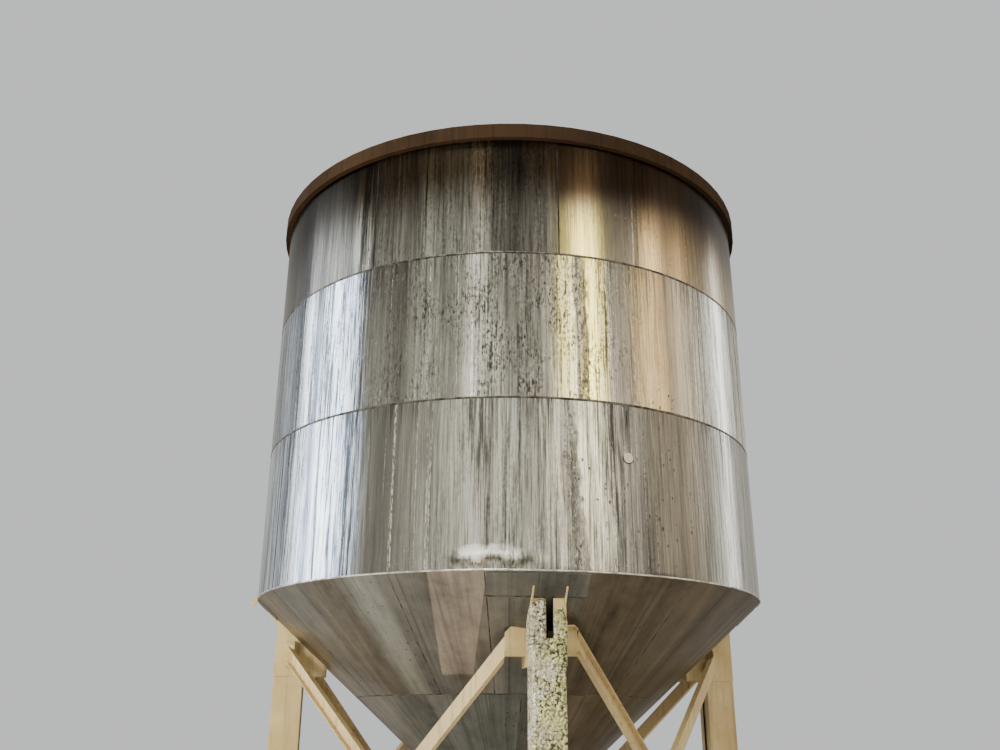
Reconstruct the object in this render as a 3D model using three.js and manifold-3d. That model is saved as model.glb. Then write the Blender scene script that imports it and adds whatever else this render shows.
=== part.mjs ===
// Cone-bottomed stainless steel storage tank on four braced steel legs.
// Millimetres, +Z up, origin on the ground under the tank's axis, front leg at -Y.

import * as THREE from 'three';
import { mergeVertices } from 'three/addons/utils/BufferGeometryUtils.js';
import Module from 'manifold-3d';

const wasm = await Module();
wasm.setup();

// Shell, cone and roof
const shellRadius = 2250;
const shellWall = 5;
const coneWall = 6;
const roofWall = 4;
const kneeHeight = 2645;
const lowerSeam = 3930;
const upperSeam = 5145;
const shellTop = 6340;
const coneApexHeight = 672;
const coneSeamHeight = 1847;
const roofRise = 300;
const roundSteps = 72;
const smallSteps = 32;
const seat = 0.3;

// Ring round the top of the shell
const topRing = { bottom: 6186, height: 130, reach: 48, plate: 8 };

// Outlet under the cone
const outlet = { radius: 109.5, wall: 6, flangeRadius: 170, flangeThickness: 24, bottom: 576 };

// Roof fittings
const manway = { radius: 256, wall: 6, centre: 1350, rise: 150, rimRadius: 300, rimThickness: 12 };
const vent = { radius: 57, wall: 4, rise: 200, rimRadius: 107, rimThickness: 16 };
const holeMargin = 0.5;

// Legs: two channels toe to toe on a base plate, slot closed by battens
const legNames = ['front', 'right', 'back', 'left'];
const legCentre = 1935;
const channel = { depth: 250, pairWidth: 232, flangeWidth: 87, web: 10, flange: 14 };
const battenLevels = {
  front: [[560, 2186]],
  others: [[300, 446], [1170, 1316], [2040, 2186]],
};
const basePlate = { width: 700, depth: 360, thickness: 20 };
const gussetPlate = { thickness: 12, bottom: 2016, innerRadius: 1620, finStart: 2440, tipRadius: 2150 };
const pad = { width: 740, shift: -90, innerRadius: 2081, outerRadius: 2238, thickness: 6 };

// Stubs and braces are channels, open inward on one diagonal and outward on the other, and lie
// back to back. A stub's plate stands at plane and ends at reach, high and low are the heights
// of the brace's middle line there
const openInward = { reach: 285, plane: 1840, chamfer: 50, high: 2160, low: 96 };
const openOutward = { reach: 235, plane: 1890, chamfer: 28, high: 2158, low: 142 };
const stubPlate = 10;
const upperStub = { bottom: 2090, height: 215, chamfered: true };
const footStub = { bottom: 20, height: 180, chamfered: false };
const brace = { depth: 105, width: 50, plate: 7 };
const stubDepth = brace.width * Math.SQRT2;
const diagonal = (facing) => (facing > 0 ? openInward : openOutward);

// Small fittings on the shell, placed by their turn from the front leg
const disc = { turn: 0.269, height: 3509, radius: 40, thickness: 8 };
const bracket = { turn: -1.484, bottom: 2600, top: 2690, reach: 40, foot: 12, thickness: 10 };

const quarter = Math.PI / 2;
const coneSlope = (kneeHeight - coneApexHeight) / shellRadius;
const coneAngle = Math.atan(coneSlope);
const coneHeight = (radius) => coneApexHeight + radius * coneSlope;
const coneRadius = (height) => (height - coneApexHeight) / coneSlope;
const roofHeight = (radius) => shellTop + roofRise * (1 - radius / shellRadius);

const stainless = { color: 0xa9a59b, roughness: 0.32, metalness: 1 };
const dullStainless = { color: 0x7b7469, roughness: 0.5, metalness: 0.9 };
const creamPaint = { color: 0xcbb185, roughness: 0.6, metalness: 0 };
const brownPaint = { color: 0x8b6b45, roughness: 0.7, metalness: 0 };

// Closed solid of a three.js geometry
function solidOf(geometry) {
  const bare = geometry.clone();
  bare.deleteAttribute('normal');
  bare.deleteAttribute('uv');
  const merged = mergeVertices(bare, 1e-4);
  const mesh = new wasm.Mesh({
    numProp: 3,
    vertProperties: new Float32Array(merged.attributes.position.array),
    triVerts: new Uint32Array(merged.index.array),
  });
  mesh.merge();
  return new wasm.Manifold(mesh);
}

function geometryOf(solid) {
  const mesh = solid.getMesh();
  const geometry = new THREE.BufferGeometry();
  geometry.setAttribute('position', new THREE.BufferAttribute(mesh.vertProperties, 3));
  geometry.setIndex(new THREE.BufferAttribute(mesh.triVerts, 1));
  geometry.computeVertexNormals();
  return geometry;
}

// Closed profile of [radius, height] points, turned round the Z axis
function lathe(profile, steps = roundSteps) {
  const points = [...profile, profile[0]].map(([radius, height]) => new THREE.Vector2(radius, height));
  return new THREE.LatheGeometry(points, steps).rotateX(quarter);
}

// Tube wall between two radii and two heights
function ring(inner, outer, bottom, top, steps = roundSteps) {
  return lathe([[inner, bottom], [outer, bottom], [outer, top], [inner, top]], steps);
}

function box(width, depth, height, x, y, z) {
  return new THREE.BoxGeometry(width, depth, height).translate(x, y, z);
}

function cylinder(radius, bottom, top, y = 0, steps = smallSteps) {
  const geometry = new THREE.CylinderGeometry(radius, radius, top - bottom, steps).rotateX(quarter);
  return geometry.translate(0, y, (top + bottom) / 2);
}

// Outline drawn in XY and extruded up from bottom to top
function post(outline, bottom, top) {
  const shape = new THREE.Shape(outline.map(([x, y]) => new THREE.Vector2(x, y)));
  const geometry = new THREE.ExtrudeGeometry(shape, { depth: top - bottom, bevelEnabled: false });
  return geometry.translate(0, 0, bottom);
}

// Outline drawn in XZ and extruded along Y from near to far
function sidePlate(outline, near, far) {
  const shape = new THREE.Shape(outline.map(([x, z]) => new THREE.Vector2(x, z)));
  const geometry = new THREE.ExtrudeGeometry(shape, { depth: far - near, bevelEnabled: false });
  return geometry.rotateX(quarter).translate(0, far, 0);
}

// Side plate given by two Y values in either order
function plateBetween(outline, oneSide, otherSide) {
  return sidePlate(outline, Math.min(oneSide, otherSide), Math.max(oneSide, otherSide));
}

const tank = new THREE.Group();

function addPiece(name, solid, look, turn = 0) {
  const mesh = new THREE.Mesh(geometryOf(solid), new THREE.MeshStandardMaterial(look));
  mesh.name = name;
  mesh.rotation.z = turn;
  tank.add(mesh);
}

function shellCourse(name, bottom, top) {
  const wall = ring(shellRadius - shellWall, shellRadius, bottom + seat / 2, top - seat / 2);
  addPiece(name, solidOf(wall), stainless);
}

// Cone plate between two heights, cut level at both ends
function coneCourse(name, bottom, top) {
  const across = coneWall / Math.sin(coneAngle);
  const low = bottom + seat / 2;
  const high = top - seat / 2;
  const profile = [
    [coneRadius(low) - across, low],
    [coneRadius(low), low],
    [coneRadius(high), high],
    [coneRadius(high) - across, high],
  ];
  addPiece(name, solidOf(lathe(profile)), dullStainless);
}

// Bead that closes the knee between shell and cone
function kneeBead() {
  const inner = shellRadius + seat;
  const profile = [
    [inner, kneeHeight - 5],
    [inner + 4, kneeHeight - 5],
    [inner + 7, kneeHeight - 1],
    [inner + 5, kneeHeight + 5],
    [inner, kneeHeight + 8],
  ];
  addPiece('knee_bead', solidOf(lathe(profile)), stainless);
}

// Angle ring round the top of the shell, one leg level and one upright
function topStiffenerRing() {
  const { bottom, height, reach, plate } = topRing;
  const inner = shellRadius + seat;
  const outer = inner + reach;
  const profile = [
    [inner, bottom],
    [outer, bottom],
    [outer, bottom + height],
    [outer - plate, bottom + height],
    [outer - plate, bottom + plate],
    [inner, bottom + plate],
  ];
  addPiece('top_stiffener_ring', solidOf(lathe(profile)), brownPaint);
}

function outletNozzle() {
  const { radius, wall, flangeRadius, flangeThickness, bottom } = outlet;
  const flangeTop = bottom + flangeThickness;
  const neck = ring(radius - wall, radius, flangeTop + seat, coneHeight(radius) - seat, smallSteps);
  addPiece('outlet_neck', solidOf(neck), dullStainless);
  const flange = ring(radius - wall, flangeRadius, bottom, flangeTop, smallSteps);
  addPiece('outlet_flange', solidOf(flange), dullStainless);
}

// Low cone with one hole for the manway and one for the vent
function roofCone() {
  const edge = shellTop + seat;
  const profile = [
    [0, edge + roofRise],
    [shellRadius, edge],
    [shellRadius, edge + roofWall],
    [0, edge + roofRise + roofWall],
  ];
  const above = shellTop + roofRise + 100;
  const manwayHole = cylinder(manway.radius + holeMargin, shellTop - 100, above, manway.centre);
  const ventHole = cylinder(vent.radius + holeMargin, shellTop - 100, above);
  const plate = solidOf(lathe(profile)).subtract(solidOf(manwayHole)).subtract(solidOf(ventHole));
  addPiece('roof_cone', plate, stainless);
}

// Neck through the roof with a flat rim at its top
function rimmedNeck({ radius, wall, rimRadius, rimThickness }, foot, top) {
  const profile = [
    [radius - wall, foot],
    [radius, foot],
    [radius, top - rimThickness],
    [rimRadius, top - rimThickness],
    [rimRadius, top],
    [radius - wall, top],
  ];
  return lathe(profile, smallSteps);
}

function roofManway() {
  const foot = roofHeight(manway.centre + manway.radius) - 15;
  const top = roofHeight(manway.centre) + manway.rise;
  addPiece('manway_neck', solidOf(rimmedNeck(manway, foot, top).translate(0, manway.centre, 0)), stainless);
  const lid = cylinder(manway.rimRadius, top + seat, top + manway.rimThickness, manway.centre);
  addPiece('manway_lid', solidOf(lid), stainless);
}

function roofVent() {
  const neck = rimmedNeck(vent, roofHeight(0) - 20, roofHeight(0) + vent.rise);
  addPiece('roof_vent', solidOf(neck), stainless);
}

// Everything above the cone's outer face, which is pushed out by a clearance
function coneCutter(clearance) {
  const drop = clearance / Math.cos(coneAngle);
  const wide = shellRadius + 400;
  const profile = [
    [0, coneApexHeight - drop],
    [wide, coneHeight(wide) - drop],
    [wide, coneHeight(wide) + 100],
    [0, coneHeight(wide) + 100],
  ];
  return solidOf(lathe(profile));
}

// Ring of the cone pads' section, grown by a margin where it cuts the gussets
function padRing(margin) {
  const below = (radius, depth) => [radius, coneHeight(radius) - depth / Math.cos(coneAngle)];
  const near = seat - margin;
  const far = seat + pad.thickness + margin;
  const low = pad.innerRadius - margin;
  const high = pad.outerRadius + margin;
  return solidOf(lathe([below(low, far), below(high, far), below(high, near), below(low, near)]));
}

function conePad(name, turn) {
  const window = box(pad.width, 400, 600, pad.shift, -pad.outerRadius, kneeHeight - 100);
  addPiece(`cone_pad_${name}`, padRing(0).intersect(solidOf(window)), dullStainless, turn);
}

// Plan of one channel, mirrored by side, its toes towards the leg's axis
function channelOutline(side) {
  const { depth, pairWidth, flangeWidth, web, flange } = channel;
  const outer = pairWidth / 2;
  const toe = outer - flangeWidth;
  const inWeb = outer - web;
  const face = depth / 2;
  const inFace = face - flange;
  const outline = [
    [outer, -face],
    [outer, face],
    [toe, face],
    [toe, inFace],
    [inWeb, inFace],
    [inWeb, -inFace],
    [toe, -inFace],
    [toe, -face],
  ];
  return outline.map(([x, y]) => [side * x, y - legCentre]);
}

// Battens close the slot between the toes on the outer and inner faces
function battens(name) {
  const width = channel.pairWidth - 2 * channel.flangeWidth + 20;
  const offset = (channel.depth - channel.flange) / 2;
  const plates = [];
  for (const [bottom, top] of battenLevels[name] ?? battenLevels.others) {
    for (const y of [-legCentre - offset, -legCentre + offset]) {
      plates.push(solidOf(box(width, channel.flange, top - bottom, 0, y, (top + bottom) / 2)));
    }
  }
  return plates;
}

function leg(name, turn) {
  const foot = basePlate.thickness + seat;
  const right = solidOf(post(channelOutline(1), foot, kneeHeight));
  const left = solidOf(post(channelOutline(-1), foot, kneeHeight));
  let column = right.add(left);
  for (const plate of battens(name)) {
    column = column.add(plate);
  }
  addPiece(`leg_${name}`, column.subtract(coneCutter(0.5)), creamPaint, turn);
}

// Short level channel beside the leg that takes a brace end; side is its place at the leg's
// right or left, facing is where its open side looks, -1 outward and 1 inward. The upper ones
// that open inward have no top flange, as the cone is in its way
function stub(side, facing, root, { bottom, height, chamfered }) {
  const { reach, plane, chamfer } = diagonal(facing);
  const cut = chamfered ? chamfer : 0;
  const top = bottom + height;
  const past = 5;
  const cover = chamfered && facing > 0 ? -2 * past : stubPlate;
  const outline = [
    [root, bottom],
    [reach, bottom],
    [reach, top - cut],
    [reach - cut, top],
    [root, top],
  ];
  const pocket = [
    [root - past, bottom + stubPlate],
    [reach + past, bottom + stubPlate],
    [reach + past, top - cover - cut - past],
    [reach - cut, top - cover],
    [root - past, top - cover],
  ];
  const mirror = (points) => points.map(([x, z]) => [side * x, z]);
  const body = plateBetween(mirror(outline), 0, facing * stubDepth);
  const hollow = plateBetween(mirror(pocket), facing * stubPlate, facing * 2 * stubDepth);
  const atLeg = (geometry) => solidOf(geometry.translate(0, -plane, 0));
  return atLeg(body).subtract(atLeg(hollow));
}

function legBase(name, turn) {
  const { width, depth, thickness } = basePlate;
  const root = channel.pairWidth / 2 + seat;
  const plate = solidOf(box(width, depth, thickness, 0, -legCentre, thickness / 2));
  const fins = stub(1, 1, root, footStub).add(stub(-1, -1, root, footStub));
  addPiece(`leg_${name}_base`, plate.add(fins), creamPaint, turn);
}

// Plate lapped on the leg's web, running in along the cone and out to a pointed fin,
// with the upper brace stub welded on its outer face
function gusset(name, side, turn) {
  const { thickness, bottom, innerRadius, finStart, tipRadius } = gussetPlate;
  const outer = legCentre + channel.depth / 2;
  const outline = [
    [innerRadius, bottom],
    [outer, bottom],
    [outer, finStart],
    [tipRadius, coneHeight(tipRadius) - 12],
    [tipRadius, kneeHeight],
    [innerRadius, kneeHeight],
  ];
  const inner = channel.pairWidth / 2 + seat;
  const plate = plateBetween(outline, side * inner, side * (inner + thickness)).rotateZ(-quarter);
  const welded = solidOf(plate).add(stub(side, -side, inner + thickness - 1, upperStub));
  const cut = welded.subtract(coneCutter(0.5)).subtract(padRing(0.5));
  const sideName = side > 0 ? 'right' : 'left';
  addPiece(`leg_${name}_gusset_${sideName}`, cut, creamPaint, turn);
}

// Channel down from the upper stub of one leg to the foot of its neighbour. It is drawn with
// the bay along X and the outside at -Y, then swung into the bay and trimmed to the stubs
function braceSolid(facing) {
  const { reach, plane, high, low } = diagonal(facing);
  const span = (plane - reach) * Math.SQRT2;
  const slope = (high - low) / span;
  const steep = Math.sqrt(1 + slope * slope);
  const level = (x) => (facing < 0 ? high - slope * x : low + slope * x);
  const band = (half, past) => {
    const start = -past;
    const end = span + past;
    return [
      [start, level(start) - half],
      [end, level(end) - half],
      [end, level(end) + half],
      [start, level(start) + half],
    ];
  };
  const body = plateBetween(band((brace.depth / 2) * steep, 60), facing * seat, facing * brace.width);
  const inside = band((brace.depth / 2 - brace.plate) * steep, 120);
  const hollow = plateBetween(inside, facing * brace.plate, facing * 2 * brace.width);
  const swing = (geometry) => solidOf(geometry.rotateZ(quarter / 2).translate(reach, -plane, 0));
  const size = 6000;
  const from = reach + seat + size / 2;
  const window = box(size, size, size, from, -from, 0);
  return swing(body).subtract(swing(hollow)).intersect(solidOf(window));
}

// Two braces back to back across the bay between one leg and the next
function braceCross(name, nextName, turn) {
  addPiece(`brace_${name}_to_${nextName}`, braceSolid(-1), creamPaint, turn);
  addPiece(`brace_${nextName}_to_${name}`, braceSolid(1), creamPaint, turn);
}

// Small round plate welded on the shell
function shellDisc() {
  const { turn, height, radius, thickness } = disc;
  const length = 60;
  const plate = new THREE.CylinderGeometry(radius, radius, length, smallSteps);
  plate.translate(0, -shellRadius - thickness + length / 2, height);
  const shell = cylinder(shellRadius + seat, kneeHeight, shellTop, 0, roundSteps).rotateZ(-turn);
  addPiece('shell_disc', solidOf(plate).subtract(solidOf(shell)), stainless, turn);
}

// Small lug on the knee that steadied a pipe
function pipeBracket() {
  const { turn, bottom, top, reach, foot, thickness } = bracket;
  const root = shellRadius + 8;
  const outline = [
    [root, bottom],
    [root + reach, bottom],
    [root + reach, bottom + foot],
    [root + foot, top],
    [root, top],
  ];
  const plate = sidePlate(outline, -thickness / 2, thickness / 2).rotateZ(-quarter);
  addPiece('pipe_bracket', solidOf(plate), creamPaint, turn);
}

legNames.forEach((name, index) => {
  const turn = index * quarter;
  legBase(name, turn);
  leg(name, turn);
  gusset(name, -1, turn);
  gusset(name, 1, turn);
  conePad(name, turn);
  braceCross(name, legNames[(index + 1) % legNames.length], turn);
});

outletNozzle();
coneCourse('cone_lower', coneHeight(outlet.radius), coneSeamHeight);
coneCourse('cone_upper', coneSeamHeight, kneeHeight);
kneeBead();
shellCourse('shell_lower', kneeHeight, lowerSeam);
shellCourse('shell_middle', lowerSeam, upperSeam);
shellCourse('shell_upper', upperSeam, shellTop);
topStiffenerRing();
roofCone();
roofManway();
roofVent();
shellDisc();
pipeBracket();

export default tank;
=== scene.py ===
# Visual model of a cone-bottomed stainless steel storage tank on four braced legs.
# Metres, +Z up, origin on the ground under the tank's axis, front leg at -Y.
# Angles go round the tank from the front leg, growing towards +X.
import math
import bmesh
import bpy
import numpy as np
from functools import partialmethod
from mathutils import Matrix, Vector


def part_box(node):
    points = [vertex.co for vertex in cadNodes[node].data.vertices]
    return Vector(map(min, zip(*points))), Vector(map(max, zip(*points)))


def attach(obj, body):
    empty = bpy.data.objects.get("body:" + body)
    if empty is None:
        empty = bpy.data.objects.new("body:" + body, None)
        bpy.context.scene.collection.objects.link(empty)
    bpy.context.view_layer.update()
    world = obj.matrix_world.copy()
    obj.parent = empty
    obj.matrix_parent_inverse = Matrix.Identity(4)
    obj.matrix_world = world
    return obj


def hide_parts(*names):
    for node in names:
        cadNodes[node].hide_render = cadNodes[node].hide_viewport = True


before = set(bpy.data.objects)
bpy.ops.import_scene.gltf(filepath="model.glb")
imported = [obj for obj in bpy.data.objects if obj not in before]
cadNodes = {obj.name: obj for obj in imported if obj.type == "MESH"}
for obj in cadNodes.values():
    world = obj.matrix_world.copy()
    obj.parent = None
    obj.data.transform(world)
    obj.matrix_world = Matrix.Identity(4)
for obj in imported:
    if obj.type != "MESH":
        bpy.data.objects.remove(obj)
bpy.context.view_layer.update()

print("frame loaded:", len(cadNodes), "nodes")

# Main sizes come from the CAD nodes
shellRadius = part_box("shell_middle")[1].x
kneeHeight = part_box("shell_lower")[0].z
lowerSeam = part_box("shell_middle")[0].z
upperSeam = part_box("shell_upper")[0].z
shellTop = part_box("shell_upper")[1].z
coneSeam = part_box("cone_upper")[0].z
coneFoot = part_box("cone_lower")[0].z
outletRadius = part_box("outlet_neck")[1].x
shellWall = 0.005
coneWall = 0.006
coneSlope = (kneeHeight - coneFoot) / (shellRadius - outletRadius)
tiltSine = math.sin(math.atan(coneSlope))
tiltCosine = math.cos(math.atan(coneSlope))
legNames = ["front", "right", "back", "left"]
legCentre = 1.935
legHalf = 0.116
legFront = legCentre + 0.125
quarterTurn = math.pi / 2


# Mesh helpers

def addObject(name, data):
    added = bpy.data.objects.new(name, data)
    bpy.context.scene.collection.objects.link(added)
    return added


# Object from a grid of points, with faces between neighbours, wrapped where the grid closes on itself
def gridPiece(name, grid, closedRows=False, closedColumns=False, plateMap=None, lump=None):
    rows, columns = grid.shape[:2]
    row, column = np.arange(rows - (not closedRows)), np.arange(columns - (not closedColumns))
    row, column = np.meshgrid(row, column, indexing="ij")
    cellRows = np.stack([row, row, row + 1, row + 1], -1).reshape(-1, 4)
    cellColumns = np.stack([column, column + 1, column + 1, column], -1).reshape(-1, 4)
    corners = ((cellRows % rows) * columns + cellColumns % columns).astype(np.int32)
    mesh = bpy.data.meshes.new(name)
    mesh.vertices.add(rows * columns)
    mesh.vertices.foreach_set("co", grid.astype(np.float32).ravel())
    mesh.loops.add(corners.size)
    mesh.loops.foreach_set("vertex_index", corners.ravel())
    mesh.polygons.add(len(corners))
    mesh.polygons.foreach_set("loop_start", np.arange(0, corners.size, 4, dtype=np.int32))
    mesh.update(calc_edges=True)
    mesh.polygons.foreach_set("use_smooth", np.ones(len(corners), bool))
    if plateMap is not None:
        layer = mesh.uv_layers.new(name="plateMap")
        layer.data.foreach_set("uv", plateMap[cellRows, cellColumns].astype(np.float32).ravel())
    if lump is not None:
        layer = mesh.attributes.new("lump", "FLOAT", "POINT")
        layer.data.foreach_set("value", lump.astype(np.float32).ravel())
    return addObject(name, mesh)


# Merge doubled points, which also closes poles, then make flat faces whole or drop the flat leftovers
def mergeDoubles(piece, distance=1e-5, flat=None):
    work = bmesh.new()
    work.from_mesh(piece.data)
    bmesh.ops.remove_doubles(work, verts=work.verts, dist=distance)
    if flat:
        bmesh.ops.dissolve_limit(work, angle_limit=math.radians(flat), verts=work.verts, edges=work.edges)
    else:
        bmesh.ops.dissolve_degenerate(work, edges=work.edges, dist=distance)
    work.to_mesh(piece.data)
    work.free()
    return piece


# Several pieces made one
def joinPieces(name, pieces):
    work = bmesh.new()
    for piece in pieces:
        work.from_mesh(piece.data)
        bpy.data.objects.remove(piece)
    mesh = bpy.data.meshes.new(name)
    work.to_mesh(mesh)
    work.free()
    return addObject(name, mesh)


# Material, bevel and sharp edges, then the piece rides on the tank and stands for its CAD nodes
def dress(piece, material, nodes=(), sharp=None, bevel=None):
    piece.data.materials.clear()
    piece.data.materials.append(material)
    if sharp is not None:
        piece.data.polygons.foreach_set("use_smooth", np.ones(len(piece.data.polygons), bool))
        piece.data.set_sharp_from_angle(angle=math.radians(sharp))
    if bevel is not None:
        edge = piece.modifiers.new("edges", "BEVEL")
        edge.width = bevel
        edge.segments = 2
        edge.limit_method = "ANGLE"
        edge.angle_limit = math.radians(35)
        edge.use_clamp_overlap = True
    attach(piece, "root")
    if nodes:
        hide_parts(*nodes)


# Copy of a CAD node with its doubles merged and its flat faces whole, ready for a bevel
def dressedCopy(nodeName, material, bevel=0.002, sharp=30):
    piece = addObject(nodeName + "_dressed", cadNodes[nodeName].data.copy())
    if "custom_normal" in piece.data.attributes:
        piece.data.attributes.remove(piece.data.attributes["custom_normal"])
    mergeDoubles(piece, flat=0.6)
    dress(piece, material, [nodeName], sharp=sharp, bevel=bevel)


# Point on a circle round the tank: radius times the sine and less the cosine of the angle, at a height
def aroundTank(radius, angle, height):
    radius, angle, height = np.broadcast_arrays(radius, angle, height)
    return np.stack([radius * np.sin(angle), -radius * np.cos(angle), height], -1)


# Columns round the tank, closer together on the front
def turnAngles(backSteps=90, frontSteps=330):
    edge = math.radians(80)
    return np.concatenate([
        np.linspace(-math.pi, -edge, backSteps, endpoint=False),
        np.linspace(-edge, edge, frontSteps, endpoint=False),
        np.linspace(edge, math.pi, backSteps, endpoint=False),
    ])


# Scattered value from 0 to 1 for whole-number cells
def scatter(x, y, seed):
    value = np.sin(x * 127.1 + y * 311.7 + seed * 74.7) * 43758.5453
    return value - np.floor(value)


# Rounded lumps: one less the distance to the nearest of the points scattered one to a cell
def lumps(along, up, cell, seed):
    x, y = along / cell, up / cell
    nearest = np.full(x.shape, 9.0)
    for stepX in (-1, 0, 1):
        for stepY in (-1, 0, 1):
            cx, cy = np.floor(x) + stepX, np.floor(y) + stepY
            away = np.hypot(x - cx - scatter(cx, cy, seed), y - cy - scatter(cx, cy, seed + 1))
            nearest = np.minimum(nearest, away)
    return np.clip(1 - nearest, 0, 1)


# Soft hills: scattered values at the corners of cells, blended smoothly between them
def hills(along, up, cell, seed):
    x, y = along / cell, up / cell
    cx, cy = np.floor(x), np.floor(y)
    fx, fy = x - cx, y - cy
    fx, fy = fx * fx * (3 - 2 * fx), fy * fy * (3 - 2 * fy)
    low = scatter(cx, cy, seed) * (1 - fx) + scatter(cx + 1, cy, seed) * fx
    high = scatter(cx, cy + 1, seed) * (1 - fx) + scatter(cx + 1, cy + 1, seed) * fx
    return low * (1 - fy) + high * fy


# Shader helpers

# Output of a node in a shader tree: each sum, product or the like of two of them adds a node
class Value:
    def __init__(self, node, output=0):
        self.tree = node.id_data
        self.socket = node.outputs[output]

    def maths(self, operation, other=0.0, clamp=False):
        node = newNode(self.tree, "Math", {0: self, 1: other}, operation)
        node.use_clamp = clamp
        return Value(node)

    __add__ = partialmethod(maths, "ADD")
    __sub__ = partialmethod(maths, "SUBTRACT")
    __mul__ = partialmethod(maths, "MULTIPLY")
    __truediv__ = partialmethod(maths, "DIVIDE")

    # Moved smoothly from one range to another and held at its ends
    def spread(self, low, high, newLow=0.0, newHigh=1.0):
        given = {"Value": self, "From Min": low, "From Max": high, "To Min": newLow, "To Max": newHigh}
        node = newNode(self.tree, "MapRange", given)
        node.interpolation_type = "SMOOTHSTEP"
        return Value(node)


# Inputs of a node, each given a number, a vector, a colour or a value to link
def feed(node, given):
    for key, value in given.items():
        socket = node.inputs[key]
        if isinstance(value, Value):
            value.tree.links.new(value.socket, socket)
        else:
            socket.default_value = (*value, 1.0) if socket.type == "RGBA" else value


def newNode(tree, kind, given, operation=None):
    node = tree.nodes.new("ShaderNode" + kind)
    if operation:
        node.operation = operation
    feed(node, given)
    return node


def vectorMaths(operation, first, second=(0, 0, 0), output=0):
    return Value(newNode(first.tree, "VectorMath", {0: first, 1: second}, operation), output)


def parts(vector):
    node = newNode(vector.tree, "SeparateXYZ", {0: vector})
    return [Value(node, index) for index in range(3)]


# Place scaled by one number across and one upward, and shifted
def stretched(place, wide, tall, shift):
    moved = {"Vector": place, "Scale": (wide, wide, tall), "Location": (shift, shift * 1.7, shift * 0.6)}
    return Value(newNode(place.tree, "Mapping", moved))


def grain(place, wide, tall, shift=0.0, detail=4.0, rough=0.55, distort=0.0):
    given = {"Vector": stretched(place, wide, tall, shift), "Scale": 1.0, "Detail": detail,
             "Roughness": rough, "Distortion": distort}
    return Value(newNode(place.tree, "TexNoise", given))


# Round dots, one in some of the cells: present where the cell's scattered value is over a limit
def dots(place, wide, tall, shift, radius, limit):
    cells = newNode(place.tree, "TexVoronoi", {"Vector": stretched(place, wide, tall, shift), "Scale": 1.0})
    chance, size, _ = parts(Value(cells, "Color"))
    near = (Value(cells, "Distance") - size * radius).spread(0.0, -0.06)
    return near * chance.maths("GREATER_THAN", limit)


def mixed(factor, first, second, blend="MIX"):
    node = newNode(factor.tree, "Mix", {})
    node.data_type = "RGBA"
    node.blend_type = blend
    feed(node, {0: factor, 6: first, 7: second})
    return Value(node, 2)


def dimmed(colour, factor):
    return Value(newNode(factor.tree, "VectorMath", {0: colour, "Scale": factor}, "SCALE"))


def ramp(factor, stops):
    node = newNode(factor.tree, "ValToRGB", {0: factor})
    elements = node.color_ramp.elements
    while len(elements) < len(stops):
        elements.new(0.5)
    for element, (position, colour) in zip(elements, stops):
        element.position = position
        element.color = (*colour, 1.0)
    return Value(node)


def startMaterial(name):
    material = bpy.data.materials.new(name)
    material.use_nodes = True
    return material, Value(newNode(material.node_tree, "TexCoord", {}), "Object")


# The material's surface: colour, roughness and the bump of a height
def surfaced(material, colour, rough, height, distance, metal=0.0, sheen=0.5):
    bump = Value(newNode(height.tree, "Bump", {"Distance": distance, "Height": height}))
    feed(material.node_tree.nodes["Principled BSDF"], {
        "Base Color": colour, "Roughness": rough, "Metallic": metal, "Specular IOR Level": sheen,
        "Normal": bump})
    return material


# Share of a full turn, 0 to 1 from the back round to the back, and the height, read from the plate map
def turnShare(wobble):
    plate = newNode(wobble.tree, "UVMap", {})
    plate.uv_map = "plateMap"
    around, height, _ = parts(Value(plate))
    return (around + wobble) * (1 / (2 * math.pi * shellRadius)) + 0.5, height


# Tones of the plate: brightness times a tint, grey where none is named. On the shell, bright zones tinted
# cool, cream or tan are painted reflections of cool and warm light
tints = {
    "cool": (0.85, 0.95, 1.11),
    "grey": (1.02, 0.97, 0.83),
    "green": (0.99, 0.99, 0.84),
    "cream": (1.18, 1.00, 0.38),
    "dun": (1.08, 0.93, 0.70),
    "tan": (1.15, 0.88, 0.49),
    "brown": (1.12, 0.88, 0.56),
}


# Ramp round the tank with a tone at each angle; the first one returns at the back
def zoned(share, zones):
    stops = []
    for degrees, zone in [*zones.items(), (180, zones[-180])]:
        brightness, tint = zone if isinstance(zone, tuple) else (zone, "grey")
        stops.append((degrees / 360 + 0.5, tuple(brightness * part for part in tints[tint])))
    return ramp(share, stops)


# Thin lines down the plate on a plain ground of 1: each has an angle, a half width in degrees and a value
def lined(share, lines):
    stops = []
    for degrees, half, value in sorted(lines):
        for offset, level in ((-half, 1.0), (-half * 0.4, value), (half * 0.4, value), (half, 1.0)):
            stops.append(((degrees + offset) / 360 + 0.5, (level * 0.5,) * 3))
    return ramp(share, stops) * 2.0


print("helpers ready")


# Shell plate: rolled stainless with a spill film in upright zones, runs, lime streaks and spots, and painted
# light: reflections in its tones, shade towards the top, and a highlight over a shadow at the dent
shellPlate = {
    "tone": 0.9,
    "streaks": 1.5,
    "mottle": 2.0,
    "brightStreaks": 2.1,
    "runs": (0.055, 0.050, 0.042),
    # colours of the painted shade towards the top ring
    "shadowTone": (0.50, 0.44, 0.36),
    "topShadowColour": (0.18, 0.135, 0.090),
    "slantShadowColour": (0.64, 0.62, 0.72),
    # painted shadow under the dent's fold, and painted highlight on the dent
    "foldShade": (0.30, 0.29, 0.25),
    "dentHighlight": (0.86, 0.85, 0.78),
    "crustDark": (0.050, 0.045, 0.030),
    "crustPale": (0.62, 0.60, 0.50),
    "lime": (0.62, 0.62, 0.57),
    "spots": (0.050, 0.046, 0.038),
    "roughness": 0.20,
    "filmRoughness": 0.22,
}


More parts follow.
